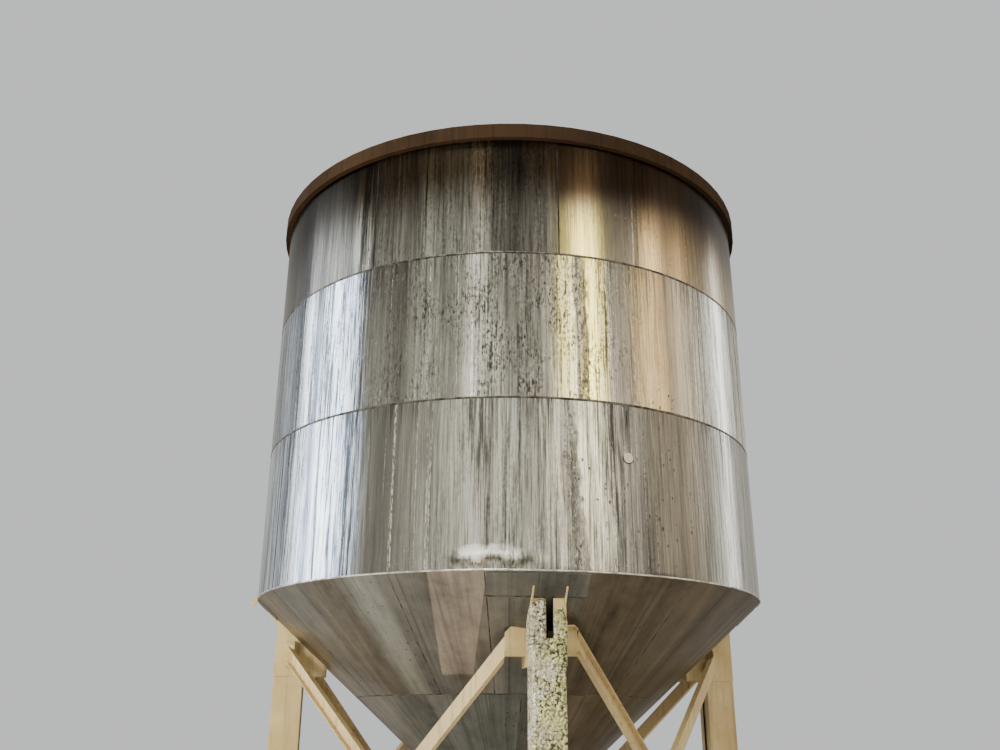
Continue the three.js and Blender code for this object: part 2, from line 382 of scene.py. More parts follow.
def shellSteel(name, zones, grime, brushed, seam, shift, lines=(), waver=1.0, topShading=False, fall=(1, 1),
               dashes=0.55, blotch=1.0, dentHighlight=None, trail=None, look=shellPlate):
    material, place = startMaterial(name)

    def noise(wide, tall, offset=0, detail=3, *more):
        return grain(place, wide, tall, shift + offset, detail, *more)

    quick = noise(9, 7)
    share, height = turnShare((noise(3, 1.6, 0, 2) * 0.05 + quick * 0.022 - 0.036) * waver)
    front = share - 0.5
    tone = zoned(share, zones)
    dirt = zoned(share, grime)
    streaks = noise(8, 0.3, 0, 6, 0.62)
    fine = noise(42, 0.9, 0, 4, 0.6)
    hair = noise(110, 3.2, 0, 3, 0.6)
    level = (streaks + fine + hair - 1.5) * look["streaks"]
    # fine blotches where the film is thick
    thick = noise(5, 2.2, 6).spread(0.38, 0.58, 0.25, 1.0) * dirt
    flock = noise(42, 26, 2, 5, 0.7) - 0.5
    level = level + flock * thick * (look["mottle"] * blotch)
    # streaks are stronger where the plate is bright
    bright = parts(tone)[1]
    level = level * bright.spread(0.25, 0.8, 1.0, look["brightStreaks"]) * zoned(share, brushed)
    level = (level + 1.0).maths("MAXIMUM", 0.18) * look["tone"]
    # painted shade: the course darkens towards its top by the two factors in fall, as far as the grime zones
    # allow
    level = level * (height.spread(seam - 1.15, seam - 0.15, fall[0] - 1, fall[1] - 1) * dirt + 1.0)
    if lines:
        level = level * lined(share, lines)
    colour = dimmed(tone, level)
    # dark runs down the plate, thin and broken
    broken = noise(6, 1.1, 5).spread(0.38, 0.6)
    runs = noise(24, 0.16, 3, 5, 0.6, 0.15).spread(0.53, 0.68) * broken * dirt
    colour = mixed(runs * 0.8, colour, look["runs"])
    # short drips that hang from the girth seam
    length = noise(34, 0.0, 8, 4, 0.7).spread(0.48, 0.78, 0.01, 0.75)
    hanging = ((height * -1.0 + seam) / length).spread(1.0, 0.55) * length.spread(0.02, 0.16)
    colour = mixed(hanging * 0.55, colour, look["runs"])
    unshaded = 1.0
    if topShading:
        # brown painted shade towards the top ring, standing for the shadow and dark reflection of the
        # platform over the tank, with a ragged lower edge left of the front leg, smooth on its right
        edge = height + (noise(14, 0.4, 0, 4) - 0.5) * share.spread(0.500, 0.506, 0.2, 0.05)
        slant = edge + front * -1.9
        smooth = slant.spread(5.3, 5.8) * share.spread(0.500, 0.506)
        topShadow = edge.spread(5.25, 5.95).maths("MAXIMUM", smooth)
        unshaded = topShadow * -1.0 + 1.0
    # pale lime threads
    lime = noise(31, 0.2, 13, 4, 0.65, 0.2).spread(0.6, 0.7)
    lime = lime * noise(80, 22).spread(0.42, 0.58) * bright.spread(0.02, 0.35, 0.06, 0.7) * unshaded
    colour = mixed(lime, colour, look["lime"])
    # short dark dashes where the film is thick
    dash = noise(75, 24, 0, 4, 0.6).spread(0.52, 0.62) * thick
    colour = mixed(dash * dashes, colour, look["runs"])
    # splashed spots in patches
    patch = noise(1.3, 1.0, 2).spread(0.5, 0.62)
    spots = dots(place, 34, 22, shift, 0.42, 0.6) + dots(place, 15, 10, shift, 0.28, 0.86)
    spots = spots.maths("MULTIPLY", patch, clamp=True) * unshaded
    colour = mixed(spots * 0.8, colour, look["spots"])
    if topShading:
        # the painted shade, evener right of the front leg, and a darker painted shadow with a slanting edge
        # there
        colour = mixed(smooth * 0.85, colour, dimmed(look["shadowTone"], level))
        colour = mixed(topShadow, colour, look["topShadowColour"], "MULTIPLY")
        stain = slant.spread(5.52, 5.74) * share.spread(0.500, 0.505)
        colour = mixed(stain, colour, look["slantShadowColour"], "MULTIPLY")
    dull = dirt * 0.4 + runs * 0.4 + lime + spots
    relief = fine * 0.35 + hair * 0.15 + (lime + spots) * 0.5
    if trail:
        # crusty run: a wavy, leaning band of the plate where dark and pale lumps mix
        lean, half = trail["lean"] / 360, trail["halfTurn"] / 360
        middle = (height - trail["height"]) * lean + trail["angle"] / 360
        sway = noise(4, 6, 20) * 0.012 - 0.006
        crusty = (front - middle - sway).maths("ABSOLUTE").spread(half, half * 0.3)
        crusty = crusty * broken.spread(0.0, 0.6, 0.45, 1.0)
        gnarl = noise(40, 17, 21, 6, 0.7, 1.2)
        colour = mixed(crusty * gnarl.spread(0.50, 0.38, 0.0, 0.9), colour, look["crustDark"])
        colour = mixed(crusty * gnarl.spread(0.54, 0.64, 0.0, 0.85), colour, look["crustPale"])
        dull = dull + crusty
        relief = relief + crusty * gnarl * 8.0
    if dentHighlight:
        # painted highlight on the dent: a pale oval on the plate with a rough edge, notched below, over the
        # painted shadow of the fold
        aside = (front - dentHighlight["angle"] / 360) / (dentHighlight["halfTurn"] / 360)
        upward = (height - dentHighlight["height"]) / dentHighlight["halfHeight"]
        under = (upward * -1.0).maths("MAXIMUM", 0.0)
        notch = (aside - 0.05).maths("ABSOLUTE").spread(0.0, 0.45, 2.2, 0.0) * under
        away = aside.maths("ABSOLUTE").maths("POWER", 4.0) + upward * upward + (quick - 0.5) * 2.0 + notch
        foldShadow = away.spread(1.0, 2.0) * away.spread(5.0, 2.4) * under.spread(0.1, 0.8, 0.0, 0.85)
        colour = mixed(foldShadow, colour, look["foldShade"], "MULTIPLY")
        glintPatch = away.spread(1.5, 0.3, 0.0, 0.95) * aside.spread(-0.2, 1.0, 1.0, 0.55)
        glintPatch = glintPatch * fine.spread(0.35, 0.6, 0.5, 1.0)
        colour = mixed(glintPatch, colour, look["dentHighlight"])
        dull = dull + glintPatch
    rough = dull * look["filmRoughness"] + fine * 0.1
    rough = rough.maths("ADD", look["roughness"] - 0.05, clamp=True)
    return surfaced(material, colour, rough, relief, 0.0006, metal=dull.spread(0.0, 1.2, 1.0, 0.45))


# Zones give each angle a brightness and perhaps a tint. They hold the plate's own tone and dirt with painted
# reflections in them:
# the bright bands are painted reflections of light, and the darkest zones are partly painted reflection of
# dark surroundings.
# Grime is how strongly runs show there, and brushed how strongly fine streaks do
upperSteel = shellSteel(
    # this course has painted shade towards the top ring
    "shell_steel_upper", shift=1.0, seam=shellTop - 0.1, waver=0.3, topShading=True, dashes=0.6, blotch=0.8,
    zones={
        -180: 0.28, -140: (0.16, "brown"), -110: 0.3, -74: 0.11, -67: 0.18, -62.5: (0.12, "cool"),
        -59.5: 0.15, -55: 0.2, -47: 0.15, -43.5: 0.11, -42: 0.6, -38.4: 0.6, -37.7: 0.15,
        -32: 0.42, -28.5: 0.27, -25.5: (0.6, "green"), -22.5: (0.42, "green"), -17: (0.44, "green"),
        -13.5: 0.62, -11.5: 0.18, -7: 0.12, -4: 0.16, 1.2: 0.22, 2.4: (0.45, "cream"),
        10.8: (0.8, "cream"), 13: (0.42, "dun"), 19: (0.64, "dun"), 21: (1.15, "tan"), 27.5: (0.19, "brown"),
        34: (0.42, "tan"), 37: (0.5, "brown")},
    lines=[(-53.1, 0.9, 0.5), (-43.3, 0.3, 1.4), (-36.2, 0.5, 1.8), (14.9, 0.25, 1.5), (24.5, 0.3, 0.6)],
    grime={-180: 0.7, -70: 0.3, -39: 0.2, -37.5: 1, -25: 0.6, -12: 1, 1.5: 1, 3: 0.3,
           40: 0.4, 120: 1},
    brushed={-180: 1, -60: 1.6, -40: 1.7, -36: 1.1, -14: 1.2, -11: 1.6, 1: 1.6, 3: 0.5,
             40: 0.5, 60: 1})
middleSteel = shellSteel(
    # fall paints shade that darkens this course towards its top
    "shell_steel_middle", shift=4.0, seam=upperSeam, fall=(1.22, 0.86), dashes=1.0, blotch=1.1,
    trail={"angle": 6.4, "halfTurn": 1.5, "height": 4.5, "lean": -0.7},
    zones={
        -180: 0.32, -110: 0.26, -80: (0.48, "cool"), -68: (0.42, "cool"), -61.7: (0.24, "cool"),
        -59.5: (0.72, "cool"), -55.5: (0.9, "cool"), -53: (0.16, "cool"), -50: (0.78, "cool"),
        -44: (0.62, "cool"), -40.5: (1, "cool"), -39.2: 0.36, -29: 0.22, -26: (0.56, "green"),
        -20: (0.38, "green"), -17: 0.48, -15.8: 1.2, -13.6: 1.3, -12.6: (0.72, "green"), -8: 0.36,
        -5: 0.48, 0.8: 0.42, 2.8: (1.1, "cream"), 5.4: (0.46, "green"), 6.8: (0.58, "cream"),
        10.8: (1.15, "cream"), 12.2: 0.48, 17: (0.6, "dun"), 19: (0.86, "tan"), 27: (0.15, "dun"),
        38.5: 0.95},
    lines=[(-53.5, 0.6, 0.5), (-43.2, 0.3, 0.4), (-32.8, 0.35, 1.5), (-21.8, 0.5, 0.5), (21.8, 0.3, 0.5),
           (26, 0.3, 0.5)],
    grime={-180: 0.7, -70: 0.3, -40: 0.3, -25: 0.9, 0: 1, 6: 1, 12: 0.6, 22: 0.2,
           60: 0.4, 120: 1},
    brushed={-180: 1, -60: 2.5, -40: 2.5, -37: 0.95, -16: 0.95, -13: 1.2, 0: 1.2, 3: 1.6,
             11: 1.6, 14: 0.7, 35: 0.7, 60: 1})
lowerSteel = shellSteel(
    "shell_steel_lower", shift=7.0, seam=lowerSeam, dashes=0.4, blotch=0.45,
    # the pale oval over the dent is a painted highlight, with a painted shadow under its fold
    dentHighlight={"angle": -11.2, "halfTurn": 5.9, "height": 2.77, "halfHeight": 0.056},
    trail={"angle": 4.2, "halfTurn": 2.0, "height": 3.3, "lean": -1.7},
    zones={
        -180: 0.34, -110: 0.46, -85: (0.5, "cool"), -70: (0.64, "cool"), -63: (0.44, "cool"),
        -60: (1.1, "cool"), -56: (0.8, "cool"), -53: (0.2, "cool"), -50: (0.92, "cool"), -44: (0.66, "cool"),
        -40: (0.9, "cool"), -37.5: 0.28, -30: 0.32, -26: 0.6, -17: (0.84, "green"), -13.5: 1.4,
        -11: 0.62, -8: (0.92, "green"), -5: 0.6, -1: 0.84, 4: 0.26, 7: 0.36, 13: 0.52, 16: 0.36,
        20: 0.24, 22.5: 0.14, 28: 0.095, 31: 0.18, 34: 0.42, 43: 0.6, 60: 0.36},
    lines=[(-36, 0.35, 1.7), (-34.6, 0.25, 0.5), (-20.5, 0.3, 0.7), (15.0, 0.22, 0.6), (16.6, 0.25, 1.4),
           (22, 0.25, 1.4)],
    grime={-180: 0.7, -70: 0.3, -35: 0.3, -26: 0.3, -18: 0.6, 0: 0.8, 10: 0.5, 30: 0.5,
           60: 0.4, 120: 0.9},
    brushed={-180: 1, -62: 2.0, -38: 2.0, -35: 0.6, -20: 0.6, -14: 1, 0: 1, 4: 1.9,
             16: 1.7, 20: 1.1, 60: 1.1})
roofSteel = shellSteel(
    "roof_steel", shift=10.0, seam=20.0, dashes=0.3, blotch=0.4, zones={-180: 0.75},
    grime={-180: 0.8}, brushed={-180: 1})
print("shell steel ready")


# Cone plate: dull brown-grey stainless, its streaks running down to the tip
conePlate = {
    "tone": 0.70,
    "streaks": 2.0,
    "fine": 0.8,
    "mottle": 1.1,
    "runs": (0.030, 0.026, 0.020),
    "pale": (0.33, 0.31, 0.25),
    "roughness": 0.42,
}


def coneSteel(name, zones, shift, panel=None, look=conePlate):
    material, place = startMaterial(name)
    flat = vectorMaths("MULTIPLY", place, (1, 1, 0))
    unitX, unitY, _ = parts(vectorMaths("NORMALIZE", flat))
    reach = vectorMaths("LENGTH", flat, output="Value")
    down = Value(newNode(place.tree, "CombineXYZ", {0: unitX, 1: unitY, 2: reach}))
    share, _ = turnShare(grain(down, 5, 1.5, shift, 3) * 0.06 - 0.03)
    tone = zoned(share, zones)
    fine = grain(down, 55, 1.6, shift, 4, 0.6)
    level = (grain(down, 10, 0.5, shift, 5, 0.6) - 0.5) * look["streaks"] + (fine - 0.5) * look["fine"]
    level = level + (grain(place, 7, 7, 0, 6, 0.65) - 0.5) * look["mottle"]
    level = (level + 1.0).maths("MAXIMUM", 0.25) * look["tone"]
    if panel:
        # one cleaner sheet of plate, wider at its top, on the tank's front left
        x, y, z = parts(place)
        inside = (z * 0.28 + x).spread(-0.145, -0.135) * x.spread(-0.462, -0.470)
        inside = inside * y.maths("LESS_THAN", 0.0) * z.spread(1.975, 1.995)
        tone = mixed(inside, tone, panel)
    colour = dimmed(tone, level)
    thread = grain(down, 38, 0.35, shift + 4, 5, 0.6).spread(0.57, 0.68)
    colour = mixed(thread * 0.6, colour, look["runs"])
    pale = grain(down, 46, 0.4, shift + 9, 4, 0.65).spread(0.62, 0.72)
    colour = mixed(pale * 0.35, colour, look["pale"])
    spots = dots(place, 30, 30, shift, 0.36, 0.72) + dots(place, 13, 13, shift, 0.2, 0.85)
    spots = spots.maths("MULTIPLY", grain(place, 1.2, 1.2, 0, 3).spread(0.48, 0.6), clamp=True)
    colour = mixed(spots * 0.75, colour, look["runs"])
    metal = (thread + spots).spread(0.0, 1.0, 0.85, 0.5)
    rough = (fine * 0.16 + thread * 0.15).maths("ADD", look["roughness"] - 0.08, clamp=True)
    return surfaced(material, colour, rough, fine * 0.4 + spots * 0.5, 0.0008, metal)


coneSteelUpper = coneSteel("cone_steel_upper", shift=2.0, panel=(0.42, 0.35, 0.28), zones={
    -180: (0.26, "brown"), -120: 0.2, -75: (0.24, "brown"), -62: 0.22, -52: (0.18, "dun"),
    -44: (0.18, "dun"), -41: (0.2, "green"), -39: (0.3, "green"), -35.5: (0.3, "green"), -33.5: 0.17,
    -26: 0.18, -22: (0.2, "dun"), -5: 0.26, 3: 0.19, 9: (0.15, "brown"), 20: (0.15, "brown"),
    45: (0.12, "brown"), 80: (0.18, "brown"), 120: 0.24})
coneSteelLower = coneSteel("cone_steel_lower", shift=6.0, zones={
    -180: 0.22, -90: (0.18, "brown"), -50: (0.22, "green"), -20: (0.26, "green"), -16: (0.2, "green"),
    -4: (0.24, "green"), -3.5: 0.2, 8: (0.18, "brown"), 60: (0.14, "brown"), 120: 0.2})
padSteel = coneSteel("pad_steel", shift=11.0, zones={-180: 0.17})
print("cone steel ready")


# Cream paint: sun-yellowed, stained down its length, chipped to dark steel at edges and knocks, with painted
# shade in the legs' slots
creamLook = {
    "fresh": (0.66, 0.52, 0.255),
    "aged": (0.50, 0.37, 0.155),
    "stain": (0.30, 0.21, 0.11),
    "bareSteel": (0.060, 0.045, 0.034),
    "rust": (0.26, 0.11, 0.035),
    # grime is the near black painted shade for the legs' slots
    "grime": (0.010, 0.008, 0.006),
    "roughness": 0.48,
    "edgeWear": 0.16,
    "sheen": 0.5,
}
# Brown paint of the top ring, much darker than its own colour: painted shade, as under the platform over the
# tank
shadedBrownLook = {
    "fresh": (0.040, 0.022, 0.010),
    "aged": (0.026, 0.014, 0.007),
    "stain": (0.015, 0.009, 0.005),
    "bareSteel": (0.045, 0.035, 0.028),
    "rust": (0.20, 0.080, 0.028),
    "roughness": 0.85,
    "edgeWear": 0.2,
    "sheen": 0.1,
}


def oldPaint(name, look, shift, wet=0.0, slotHalf=None):
    material, place = startMaterial(name)
    cloud = grain(place, 1.7, 1.7, 0, 5, 0.6)
    colour = mixed(cloud.spread(0.35, 0.68), look["fresh"], look["aged"])
    down = grain(place, 26, 1.1, shift, 5, 0.6)
    colour = mixed(down.spread(0.50, 0.75, 0.0, 0.75 + wet), colour, look["stain"])
    # worn at knocks and at edges, where the rounded normal leaves the plain one
    soft = newNode(place.tree, "Bevel", {"Radius": 0.007})
    soft.samples = 4
    plain = Value(newNode(place.tree, "NewGeometry", {}), "Normal")
    edge = vectorMaths("DOT_PRODUCT", Value(soft), plain, "Value").spread(0.99, 0.8)
    worn = grain(place, 30, 30, 0, 8, 0.72) + edge * look["edgeWear"]
    rusty = worn.spread(0.65, 0.685)
    colour = mixed(rusty * 0.85, colour, look["rust"])
    colour = mixed(worn.spread(0.685, 0.72), colour, look["bareSteel"])
    colour = mixed(dots(place, 60, 60, shift, 0.36, 0.88) * 0.6, colour, look["stain"])
    if slotHalf:
        # painted shade, near black, in each leg's slot: near the leg's middle plane and behind its outer
        # face, or high up
        x, y, z = parts(vectorMaths("ABSOLUTE", place))
        deep = x.maths("MAXIMUM", y).maths("LESS_THAN", legFront - 0.004)
        deep = deep.maths("MAXIMUM", z.maths("GREATER_THAN", 2.14))
        inside = x.maths("MINIMUM", y).maths("LESS_THAN", slotHalf) * deep
        colour = mixed(inside * 0.97, colour, look["grime"])
    rough = cloud * 0.15 + rusty * 0.25 + (look["roughness"] - 0.07)
    relief = grain(place, 180, 180, 0, 2) * 0.12 - rusty * 0.6
    return surfaced(material, colour, rough, relief, 0.0012, sheen=look["sheen"])


legPaint = oldPaint("leg_paint_cream", creamLook, 1.0, slotHalf=0.034)
bracePaint = oldPaint("brace_paint_cream", creamLook | {"aged": (0.56, 0.41, 0.22)}, 5.0)
basePaint = oldPaint("base_paint_cream", creamLook | {"edgeWear": 0.24, "aged": (0.42, 0.30, 0.16)}, 8.0, 0.2)
ringPaint = oldPaint("ring_paint_shaded_brown", shadedBrownLook, 3.0)
paintedWeld = oldPaint("painted_weld", creamLook | {"edgeWear": 0.05}, 12.0)
print("paint ready")


# Crust: dried product in pale lumps over olive and black pits
crustLook = {
    "pit": (0.040, 0.038, 0.022),
    "olive": (0.20, 0.19, 0.085),
    "straw": (0.54, 0.52, 0.24),
    "cream": (0.86, 0.83, 0.46),
    "ash": (0.48, 0.46, 0.33),
    "white": (0.88, 0.85, 0.68),
}


def driedCrust(name, look=crustLook):
    material, place = startMaterial(name)
    lump = newNode(place.tree, "Attribute", {})
    lump.attribute_name = "lump"
    rough = grain(place, 62, 44, 2.0, 7, 0.74, 0.25)
    level = Value(lump, "Fac") * 0.85 + rough * 3.6 - 2.225
    # calm, paler patches between rough ones
    swing = grain(place, 10, 5, 4.0, 4, 0.6).spread(0.38, 0.60, 0.55, 1.35)
    level = level * swing + swing * -0.16 + 0.585
    pale = ramp(level, [(0, look["pit"]), (0.22, look["olive"]), (0.52, look["ash"]), (1, look["white"])])
    sour = ramp(level, [(0, look["pit"]), (0.25, look["olive"]), (0.55, look["straw"]), (1, look["cream"])])
    patch = (parts(place)[0] * 1.5 + grain(place, 7, 7)).spread(0.36, 0.56)
    relief = rough + grain(place, 240, 240, 0, 4, 0.7) * 0.4
    return surfaced(material, mixed(patch, pale, sour), 0.8, relief, 0.006)


crustSkin = driedCrust("dried_crust")


# Bare weld metal, brown in its toes, bright plate and galvanised bolts
def weldMetal(name, colour, dark, roughness):
    material, place = startMaterial(name)
    blotch = grain(place, 14, 14, 0, 6, 0.65)
    colour = mixed(blotch.spread(0.4, 0.62), colour, dark)
    return surfaced(material, colour, blotch * 0.3 + roughness, grain(place, 160, 160, 0, 3), 0.001, 0.75)


seamMetal = weldMetal("seam_weld", (0.15, 0.135, 0.11), (0.035, 0.030, 0.024), 0.35)
coneSeamMetal = weldMetal("cone_weld", (0.15, 0.13, 0.10), (0.030, 0.026, 0.020), 0.35)
darkWeld = weldMetal("dark_weld", (0.035, 0.030, 0.024), (0.012, 0.010, 0.008), 0.4)
lipMetal = weldMetal("knee_lip", (0.85, 0.83, 0.76), (0.38, 0.35, 0.30), 0.15)
discMetal = weldMetal("disc_plate", (0.66, 0.63, 0.50), (0.36, 0.34, 0.26), 0.2)
boltMetal = weldMetal("bolt_zinc", (0.46, 0.45, 0.43), (0.16, 0.11, 0.075), 0.3)
print("crust and weld materials ready")


# Slight waves of the plates: sines round them, leaning with the height or radius
shellWaves = {"seed": 5, "count": 18, "turns": (2, 34), "climb": 2.5, "depth": 0.0011}
coneWaves = {"seed": 9, "count": 14, "turns": (3, 30), "climb": 4, "depth": 0.0013}
seamPull = {"depth": 0.0018, "reach": 0.045}
dent = {"angle": -11.0, "halfTurn": 7.6, "height": 2.728, "halfHeight": 0.046, "depth": 0.020, "fold": 0.014}


def plateWaves(waves, angle, along):
    random = np.random.default_rng(waves["seed"])
    turns = random.integers(*waves["turns"], waves["count"])
    climb = random.uniform(-waves["climb"], waves["climb"], waves["count"])
    phase = random.uniform(0, 2 * math.pi, waves["count"])
    angle, along = np.broadcast_arrays(angle, along)
    heights = np.sin(turns * angle[..., None] + climb * along[..., None] + phase) / np.sqrt(turns)
    return waves["depth"] * heights.sum(-1)


# Point of the shell, which stands off its true circle by waves, a pull in at each girth seam and the
# buckle over the front of the knee, all fading out at the knee
def shellPoint(angle, height, inward=0.0):
    wave = plateWaves(shellWaves, angle, height)
    for seam in (lowerSeam, upperSeam):
        wave = wave - seamPull["depth"] * np.exp(-((height - seam) / seamPull["reach"]) ** 2)
    off = (angle - math.radians(dent["angle"])) / math.radians(dent["halfTurn"])
    fold = np.exp(-(off * 4) ** 2)
    middle = dent["height"] + dent["fold"] * fold
    push = np.exp(-np.abs(off) ** 3) * np.exp(-((height - middle) / dent["halfHeight"]) ** 2)
    wave = wave + dent["depth"] * push * (1 - 0.35 * fold)
    knee = np.clip((height - kneeHeight) / 0.03, 0, 1)
    top = np.clip((shellTop - height) / 0.1, 0, 1)
    return aroundTank(shellRadius - inward + wave * knee * knee * (3 - 2 * knee) * top, angle, height)


# Point of the cone's face, off it along its normal by a small wave that fades at both ends
def conePoint(radius, angle, off=None):
    if off is None:
        fade = np.clip((shellRadius - radius) / 0.12, 0, 1) * np.clip((radius - outletRadius) / 0.3, 0, 1)
        off = plateWaves(coneWaves, angle, radius) * fade
    height = coneFoot + (radius - outletRadius) * coneSlope
    return aroundTank(radius + off * tiltSine, angle, height - off * tiltCosine)


# Plate of one course: its outer face climbs and its inner face comes back down. The plate map holds the
# way round the tank and the height, or the radius on the cone
def coursePlate(nodeName, material, outer, inner, climb):
    around = np.append(plateTurns, math.pi) * shellRadius
    climb = np.concatenate([climb, climb[::-1], climb[:1]])
    plateMap = np.stack(np.broadcast_arrays(around, climb[:, None]), -1)
    piece = gridPiece(nodeName + "_plate", np.concatenate([outer, inner[::-1]]), True, True, plateMap)
    dress(piece, material, [nodeName], sharp=40)


def shellCourse(nodeName, material, heights):
    rows = heights[:, None]
    inner = shellPoint(plateTurns, rows, shellWall)
    coursePlate(nodeName, material, shellPoint(plateTurns, rows), inner, heights)


def coneCourse(nodeName, material, bottom):
    reach = [outletRadius + (height - coneFoot) / coneSlope for height in (bottom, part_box(nodeName)[1].z)]
    radii = np.linspace(*reach, 26)
    face = conePoint(radii[:, None], plateTurns)
    inner = face - aroundTank(coneWall / tiltSine, plateTurns, 0.0)
    coursePlate(nodeName, material, face, inner, radii)


plateTurns = turnAngles()
finerFoot = np.linspace(kneeHeight, kneeHeight + 0.16, 17, endpoint=False)
aboveFoot = np.linspace(kneeHeight + 0.16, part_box("shell_lower")[1].z, 28)
shellCourse("shell_lower", lowerSteel, np.concatenate([finerFoot, aboveFoot]))
shellCourse("shell_middle", middleSteel, np.linspace(lowerSeam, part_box("shell_middle")[1].z, 30))
shellCourse("shell_upper", upperSteel, np.linspace(upperSeam, shellTop, 30))
print("shell courses built")
coneCourse("cone_lower", coneSteelLower, coneFoot)
coneCourse("cone_upper", coneSteelUpper, coneSeam)
print("cone courses built")


# Weld beads: an oval section carried along a path, half of it sunk in the plate
def bead(name, path, outward, halfWidth, rise, closed=False, sides=10):
    outward = np.broadcast_to(outward, path.shape)[:, None]
    along = np.roll(path, -1, 0) - np.roll(path, 1, 0)
    if not closed:
        along[0], along[-1] = path[1] - path[0], path[-1] - path[-2]
    along /= np.linalg.norm(along, axis=1, keepdims=True)
    turn = np.linspace(0, 2 * math.pi, sides, endpoint=False)[None, :, None]
    oval = np.cross(along[:, None], outward) * (halfWidth * np.cos(turn)) + outward * (rise * np.sin(turn))
    grid = path[:, None] + oval
    if not closed:
        ends = [np.repeat(path[index][None, None], sides, 1) for index in (0, -1)]
        grid = np.concatenate([ends[0], grid, ends[1]])
    return mergeDoubles(gridPiece(name, grid, closed, True))


# Half width and rise of each kind of bead
weldSizes = {
    "girth": (0.010, 0.0036), "upright": (0.006, 0.0022), "disc": (0.005, 0.004), "pad": (0.007, 0.005),
    "lip": (0.0065, 0.0055), "coneGirth": (0.006, 0.002), "spoke": (0.005, 0.0018)}
# Degrees of the upright seams of each course, and of the seams down the cone
shellSeams = (((upperSeam, 6.18), (-37.9, 2.2, 128)), ((lowerSeam, upperSeam), (-96, 58, 170)),
              ((kneeHeight, lowerSeam), (-66, 74, -160)))
seamRadius = outletRadius + (coneSeam - coneFoot) / coneSlope
coneSeams = (((seamRadius, 2.24), (-66, -31, -12.4, 30, 78, 125, 172, -118)),
             ((outletRadius + 0.02, seamRadius), (-3.6, -95, 88, 175)))

turnSteps = turnAngles(backSteps=110, frontSteps=260)
flatOut = aroundTank(1.0, turnSteps, 0.0)
for name, height in (("girth_weld_lower", lowerSeam), ("girth_weld_upper", upperSeam)):
    weld = bead(name, shellPoint(turnSteps, height), flatOut, *weldSizes["girth"], closed=True)
    dress(weld, seamMetal)

upWelds = []
for ends, turns in shellSeams:
    for angle in np.radians(turns):
        path = shellPoint(angle, np.linspace(*ends, 40))
        upWelds.append(bead("up_weld", path, aroundTank(1.0, angle, 0.0), *weldSizes["upright"]))
dress(joinPieces("shell_upright_welds", upWelds), darkWeld)

discLow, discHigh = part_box("shell_disc")
discAngle = math.atan2(discLow.x + discHigh.x, -(discLow.y + discHigh.y))
discRadius = (discHigh.z - discLow.z) / 2 + 0.002
# A weld bead with painted shadow: dark, and only round the lower left half of the disc's rim, where the rim's
# shadow falls
turn = np.radians(np.linspace(165, 345, 24))
aside, up = discRadius * np.cos(turn) / shellRadius, discRadius * np.sin(turn)
path = aroundTank(shellRadius + 0.001, discAngle + aside, (discLow.z + discHigh.z) / 2 + up)
weld = bead("disc_weld_shadow", path, aroundTank(1.0, discAngle, 0.0), *weldSizes["disc"])
dress(weld, darkWeld)


def coneOut(angle):
    return aroundTank(tiltSine, angle, -tiltCosine)


coneGirth = conePoint(seamRadius, turnSteps)
coneWelds = [bead("cone_girth", coneGirth, coneOut(turnSteps), *weldSizes["coneGirth"], closed=True)]
for ends, turns in coneSeams:
    for angle in np.radians(turns):
        path = conePoint(np.linspace(*ends, 30), angle)
        coneWelds.append(bead("cone_spoke", path, coneOut(angle), *weldSizes["spoke"]))
padLeft, padRight = -0.46, 0.28
padRadius = outletRadius + (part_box("cone_pad_front")[0].z - coneFoot) / coneSlope
padTurns = np.linspace(math.asin(padLeft / padRadius), math.asin(padRight / padRadius), 30)
for index in range(4):
    turned = index * quarterTurn + padTurns
    path = conePoint(padRadius, turned, 0.002)
    coneWelds.append(bead("pad_weld", path, coneOut(turned), *weldSizes["pad"]))
dress(joinPieces("cone_welds", coneWelds), coneSeamMetal)

lip = aroundTank(shellRadius + 0.001, turnSteps, kneeHeight + 0.001)
weld = bead("knee_lip", lip, flatOut, *weldSizes["lip"], closed=True)
dress(weld, lipMetal, ["knee_bead"])
print("weld beads built")


# Legs, bases, gussets, braces and pads keep the CAD shapes, with their edges eased
for index, name in enumerate(legNames):
    following = legNames[(index + 1) % 4]
    dressedCopy(f"leg_{name}", legPaint, bevel=0.003)
    dressedCopy(f"leg_{name}_base", basePaint)
    for side in ("left", "right"):
        dressedCopy(f"leg_{name}_gusset_{side}", legPaint, bevel=0.0015)
    for pair in (f"{name}_to_{following}", f"{following}_to_{name}"):
        dressedCopy(f"brace_{pair}", bracePaint)
print("legs and braces dressed")

dressedCopy("top_stiffener_ring", ringPaint, sharp=25)
dressedCopy("outlet_neck", coneSteelLower, bevel=0.0015, sharp=25)
dressedCopy("outlet_flange", coneSteelLower, sharp=25)
for name in ("manway_neck", "manway_lid", "roof_vent"):
    dressedCopy(name, roofSteel, bevel=0.0015, sharp=25)
dressedCopy("shell_disc", discMetal, bevel=0.0015, sharp=25)
dressedCopy("pipe_bracket", legPaint, bevel=0.001)
dressedCopy("roof_cone", roofSteel, bevel=None, sharp=25)
for name in legNames:
    dressedCopy(f"cone_pad_{name}", padSteel, bevel=0.001)
print("fittings dressed")


# Crust on the front leg: lumps of several sizes stand off a path round the leg. Shelf is how far the
# gussets stand off the leg, and gussetFoot how high they begin
crust = {"step": 0.005, "coarse": 0.008, "base": 0.003, "bottom": 0.215, "thinSides": 0.75, "shelf": 0.0125,
         "gussetFoot": 2.005, "round": 0.012, "reachBack": 0.245}
# Each layer: its form, cell and seed, how far it stands out and how much it counts in the colour
crustLayers = ((hills, 0.14, 3, 0.010, 0.25), (lumps, 0.030, 7, 0.007, 0.36), (lumps, 0.017, 17, 0.006, 0.42),
               (lumps, 0.011, 29, 0.007, 0.36))


